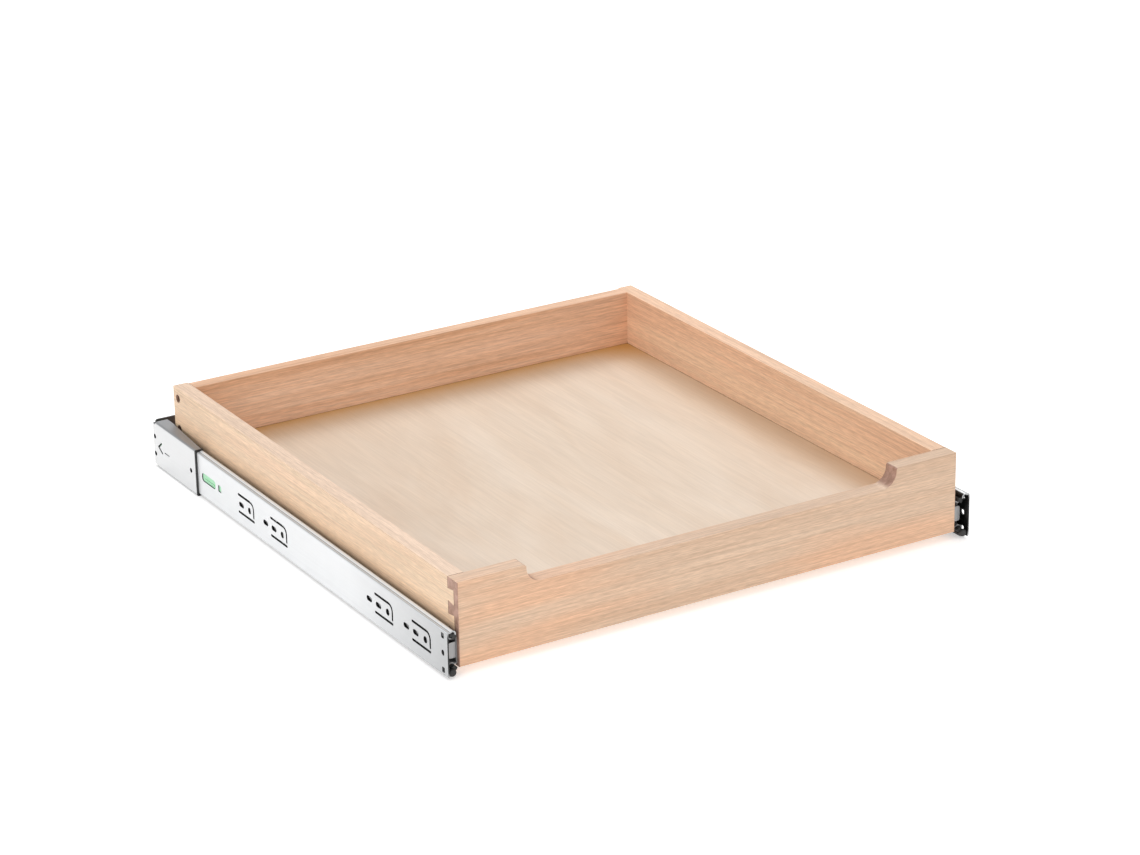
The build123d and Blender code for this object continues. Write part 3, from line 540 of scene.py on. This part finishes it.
def depth_ramp(g, depth, limits, dark=0.0, light=1.0):
    """A grey that changes over a depth of about a millimetre."""
    low, high = (limit * DEPTH_GAIN for limit in limits)
    return g.grey_ramp(g.maths("MULTIPLY", depth, DEPTH_GAIN), low, high, dark, light)


def inward(g):
    """1 on faces that look towards the tray from either side, 0 on the rest."""
    side = g.maths("SIGN", g.along("X"))
    outward = g.maths("MULTIPLY", side, g.normal("X"))
    return g.grey_ramp(g.maths("MULTIPLY", outward, -1.0), *INWARD_FACE)


def flange_reflections(g, depth):
    """Painted reflections across the flange's width: the groove's dark line as painted shade and the bright
    crown as a painted highlight.
    """
    stops = [(place / FLANGE_REFLECTION_SPAN, (tone,) * 3) for place, tone in FLANGE_REFLECTION_TONES]
    return g.multiply(FLANGE_ZINC, g.ramp(g.maths("DIVIDE", depth, FLANGE_REFLECTION_SPAN), stops))


def pierced_edges(g, depth, low, high):
    """1 on the cut edges of the holes and slits in the web, 0 on the rest."""
    off_middle = g.maths("ABSOLUTE", g.maths("SUBTRACT", g.along("Z"), (low.z + high.z) / 2))
    flat = g.grey_ramp(off_middle, *WEB_FLAT_HALF, dark=1.0, light=0.0)
    edge_on = g.grey_ramp(g.facing("X"), *SQUARE_ON, dark=1.0, light=0.0)
    in_web = depth_ramp(g, depth, WEB_DEPTH, dark=1.0, light=0.0)
    return g.maths("MULTIPLY", g.maths("MULTIPLY", in_web, edge_on), flat)


def cabinet_member_shade(g, base):
    """Paints the pierced edges and the inside of the web black as painted shade, darkens the web towards its
    front end, and lays painted reflection bands across the flange.
    """
    low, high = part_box("cabinet_member_left")
    depth = wall_distance(g)
    from_front = g.maths("SUBTRACT", g.along("Y"), low.y)
    base = g.multiply(base, g.grey_ramp(from_front, 0.0, FRONT_FADE_LENGTH, dark=FRONT_FADE_TONE))
    # Painted reflections: faces that look up or down get the flange's painted highlight and shade bands.
    base = g.mix(g.grey_ramp(g.facing("Z"), *FLANGE_FACE), base, flange_reflections(g, depth))
    # Painted shade: the pierced edges and the inward faces of the web turn black.
    return g.mix(g.maths("MAXIMUM", pierced_edges(g, depth, low, high), inward(g)), base, HOLLOW_SHADE_BLACK)


def bracket_shade(g, base):
    """Painted shade: grey flanges, a dark rear plate, the arrow's dark groove, and a black inside, each a
    shaded copy of the zinc.
    """
    # Painted shade: up-facing faces grey, forward-facing faces dark, the pressed groove dark grey, inward
    # faces black.
    shaded_flange = g.multiply(base, BRACKET_FLANGE_SHADE_GREY)
    base = g.mix(g.grey_ramp(g.facing("Z"), *SQUARE_ON), base, shaded_flange)
    shaded_plate = g.multiply(base, BRACKET_PLATE_SHADE_GREY)
    base = g.mix(g.grey_ramp(g.facing("Y"), *SQUARE_ON), base, shaded_plate)
    pressed_in = depth_ramp(g, g.maths("ADD", wall_distance(g), BRACKET_STAND_OFF), BRACKET_GROOVE_DEPTH)
    flat_on = g.grey_ramp(g.facing("X"), *FLAT_FACE)
    base = g.mix(g.maths("MULTIPLY", pressed_in, flat_on), base, BRACKET_GROOVE_SHADE_GREY)
    return g.mix(inward(g), base, BRACKET_INSIDE_SHADE_BLACK)


def plain_metal(name, colour, roughness):
    """Bare or plated metal with a fine mottle."""
    g = Graph(name)
    mottle = g.noise(g.position(), METAL_MOTTLE, detail=3.0)
    g.shader.inputs["Metallic"].default_value = 1.0
    base = g.multiply(colour, g.grey_ramp(mottle, *NOISE_SPREAD, dark=0.9, light=1.05))
    smoothest, roughest = (roughness + change for change in METAL_SPREAD)
    return g.dress(base, g.grey_ramp(mottle, 0.2, 0.8, smoothest, roughest))


# The scales of the grain and the clouds are in cycles per metre.
MOULDED_DEPTH = 0.0002
RUBBER_GRAIN = 900.0
RUBBER_CLOUD = 60.0
RUBBER_RELIEF = 0.2
RUBBER_DARK = (0.012, 0.012, 0.012)
RUBBER_WORN = (0.03, 0.03, 0.03)
RUBBER_ROUGHNESS = (0.5, 0.7)
PLASTIC_GRAIN = 500.0
PLASTIC_CLOUD = 40.0
PLASTIC_RELIEF = 0.08
PLASTIC_SPREAD = 0.12  # how far the grain takes the roughness up
GREEN_CLOUD = 60.0
GREEN_DEEP = (0.26, 0.62, 0.34)
GREEN_PALE = (0.37, 0.72, 0.45)
GREEN_HOLLOW_SHADE = (0.01, 0.05, 0.015)
GREEN_HOLLOW_SHADE_REACH = 0.004
GREEN_ROUGHNESS = (0.28, 0.36)
GREEN_SUBSURFACE_WEIGHT = 0.35
GREEN_SUBSURFACE_RADIUS = (0.4, 1.0, 0.5)
GREEN_SUBSURFACE_SCALE = 0.004


def black_rubber():
    """Black rubber with a fine grain."""
    g = Graph("black_rubber")
    grain = g.noise(g.position(), RUBBER_GRAIN, detail=3.0)
    g.bump(grain, RUBBER_RELIEF, MOULDED_DEPTH)
    base = g.mix(g.noise(g.position(), RUBBER_CLOUD), RUBBER_DARK, RUBBER_WORN)
    return g.dress(base, g.grey_ramp(grain, *NOISE_SPREAD, *RUBBER_ROUGHNESS))


def moulded_plastic(name, colour, roughness):
    """Opaque moulded plastic with a fine grain and faint clouds."""
    g = Graph(name)
    grain = g.noise(g.position(), PLASTIC_GRAIN)
    g.bump(grain, PLASTIC_RELIEF, MOULDED_DEPTH)
    cloud = g.noise(g.position(), PLASTIC_CLOUD)
    base = g.multiply(colour, g.grey_ramp(cloud, *NOISE_SPREAD, dark=0.92, light=1.05))
    return g.dress(base, g.grey_ramp(grain, *NOISE_SPREAD, roughness, roughness + PLASTIC_SPREAD))


def green_plastic():
    """The soft-close housing's milky green plastic, with painted shade darkening its hollows."""
    g = Graph("green_plastic")
    cloud = g.noise(g.position(), GREEN_CLOUD)
    base = g.ramp(cloud, list(zip(NOISE_SPREAD, (GREEN_DEEP, GREEN_PALE))))
    # Painted shade: the housing's hollows darken to a near-black green.
    hollow_shade = g.grey_ramp(g.openness(GREEN_HOLLOW_SHADE_REACH), 0.1, 0.7, dark=0.95, light=0.0)
    base = g.mix(hollow_shade, base, GREEN_HOLLOW_SHADE)
    g.shader.inputs["Subsurface Weight"].default_value = GREEN_SUBSURFACE_WEIGHT
    g.shader.inputs["Subsurface Radius"].default_value = GREEN_SUBSURFACE_RADIUS
    g.shader.inputs["Subsurface Scale"].default_value = GREEN_SUBSURFACE_SCALE
    return g.dress(base, g.grey_ramp(cloud, *NOISE_SPREAD, *GREEN_ROUGHNESS))


# ---------------------------------------------------------------- closing springs

SPRING_TURNS = 38
SPRING_COIL = 0.00105
SPRING_WIRE = 0.00025
SPRING_POINTS_PER_TURN = 14
SPRING_HOOK = 0.0009
SPRING_LEG = SPRING_HOOK / 2
SPRING_BEVEL = 2


def coil_points(front, rear, x, z):
    """A close coil along Y whose ends turn in to its axis and run out as short legs."""
    steps = SPRING_TURNS * SPRING_POINTS_PER_TURN
    coil_front = front + SPRING_HOOK
    coil_rear = rear - SPRING_HOOK
    points = [(x, front, z), (x, front + SPRING_LEG, z)]
    for step in range(steps + 1):
        turn = 2 * math.pi * step / SPRING_POINTS_PER_TURN
        y = coil_front + (coil_rear - coil_front) * step / steps
        points.append((x + SPRING_COIL * math.cos(turn), y, z + SPRING_COIL * math.sin(turn)))
    points += [(x, rear - SPRING_LEG, z), (x, rear, z)]
    return points


def wire_mesh(name, paths):
    """Round wire along each path, as one mesh."""
    curve = bpy.data.curves.new(name, "CURVE")
    curve.dimensions = "3D"
    curve.bevel_depth = SPRING_WIRE
    curve.bevel_resolution = SPRING_BEVEL
    curve.use_fill_caps = True
    for path in paths:
        spline = curve.splines.new("POLY")
        spline.points.add(len(path) - 1)
        for point, place in zip(spline.points, path):
            point.co = (*place, 1)
    maker = bpy.data.objects.new(name + "_path", curve)
    scene.collection.objects.link(maker)
    mesh = bpy.data.meshes.new_from_object(maker)
    bpy.data.objects.remove(maker)
    wire = bpy.data.objects.new(name, mesh)
    scene.collection.objects.link(wire)
    return wire


def make_closing_springs(material):
    """Coiled wire springs, built along each closing-spring node's box in place of that node."""
    for side in SIDES:
        node = f"closing_springs_{side}"
        low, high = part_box(node)
        radius = SPRING_COIL + SPRING_WIRE
        x = (low.x + high.x) / 2
        paths = [coil_points(low.y, high.y, x, z) for z in (low.z + radius, high.z - radius)]
        springs = wire_mesh(f"stretching_springs_{side}", paths)
        springs.data.materials.append(material)
        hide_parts(node)
        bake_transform(springs)


# ---------------------------------------------------------------- putting materials on

ZINC = (0.74, 0.75, 0.76)
INNER_ZINC = (0.72, 0.725, 0.73)
# Painted shade: the drawer member's zinc is a darker copy, standing in for its shaded, dark reflection
# inside the slide.
DRAWER_SHADED_ZINC = (0.40, 0.405, 0.41)
BRACKET_ZINC = (0.68, 0.685, 0.69)
RETAINER_ZINC = (0.9, 0.9, 0.9)
BALL_STEEL = (0.8, 0.8, 0.82)
SCREW_ZINC = (0.74, 0.75, 0.77)
SCREW_BLACK = (0.05, 0.05, 0.05)
DAMPER_STEEL = (0.55, 0.56, 0.58)
SPRING_STEEL = (0.5, 0.5, 0.52)
PLASTIC_BLACK = (0.02, 0.02, 0.02)
PLASTIC_GREY = (0.3, 0.31, 0.32)


def paint(node, material):
    """Gives a CAD node its material."""
    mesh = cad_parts[node].data
    mesh.materials.clear()
    mesh.materials.append(material)


def paint_pairs(material, *parts):
    """Gives the left-hand and right-hand nodes of each part the same material."""
    for part in parts:
        for side in SIDES:
            paint(f"{part}_{side}", material)


def paint_tray():
    """The wooden tray and the screws of its back joints."""
    paint("side_left", left_wood())
    paint("side_right", right_wood())
    paint("front_board", front_wood())
    paint("back_board", back_wood())
    paint("bottom_panel", panel_ply())
    paint("back_joint_screws", plain_metal("black_screw", SCREW_BLACK, roughness=0.45))


def paint_slides():
    """The slides' members, balls, retainers and small parts, and the rear brackets."""
    cabinet_zinc = rolled_steel(
        "cabinet_member_zinc", ZINC, MEMBER_ROUGHNESS, shade=cabinet_member_shade, metallic=0.3
    )
    inner_zinc = rolled_steel("intermediate_member_zinc", INNER_ZINC, MEMBER_ROUGHNESS)
    drawer_shaded_zinc = rolled_steel("drawer_member_shaded_zinc", DRAWER_SHADED_ZINC, roughness=0.4)
    bracket_zinc = rolled_steel("bracket_steel", BRACKET_ZINC, roughness=0.4, shade=bracket_shade)
    retainer_zinc = rolled_steel("retainer_steel", RETAINER_ZINC, roughness=0.35, occlusion_shade=0.6)
    ball_steel = plain_metal("ball_steel", BALL_STEEL, roughness=0.14)
    zinc_screw = plain_metal("zinc_screw", SCREW_ZINC, roughness=0.3)
    black_plastic = moulded_plastic("black_plastic", PLASTIC_BLACK, roughness=0.4)
    paint_pairs(cabinet_zinc, "cabinet_member")
    paint_pairs(inner_zinc, "intermediate_member")
    paint_pairs(drawer_shaded_zinc, "drawer_member")
    paint_pairs(bracket_zinc, "rear_bracket")
    paint_pairs(retainer_zinc, "outer_ball_retainer", "inner_ball_retainer")
    paint_pairs(ball_steel, "outer_balls", "inner_balls")
    paint_pairs(zinc_screw, "drawer_member_screws", "striker_pin", "lever_rivet")
    paint_pairs(black_rubber(), "slide_bumpers")
    paint_pairs(black_plastic, "release_lever", "bracket_liner")


def paint_soft_close():
    """The soft-close units, apart from their springs."""
    grey_plastic = moulded_plastic("grey_plastic", PLASTIC_GREY, roughness=0.4)
    damper_steel = plain_metal("damper_steel", DAMPER_STEEL, roughness=0.28)
    paint_pairs(grey_plastic, "soft_close_carriage")
    paint_pairs(green_plastic(), "soft_close_housing")
    paint_pairs(damper_steel, "damper_cylinder", "damper_rod")


make_camera()
make_studio()
make_floor()
paint_tray()
paint_slides()
paint_soft_close()
make_closing_springs(plain_metal("spring_steel", SPRING_STEEL, roughness=0.3))
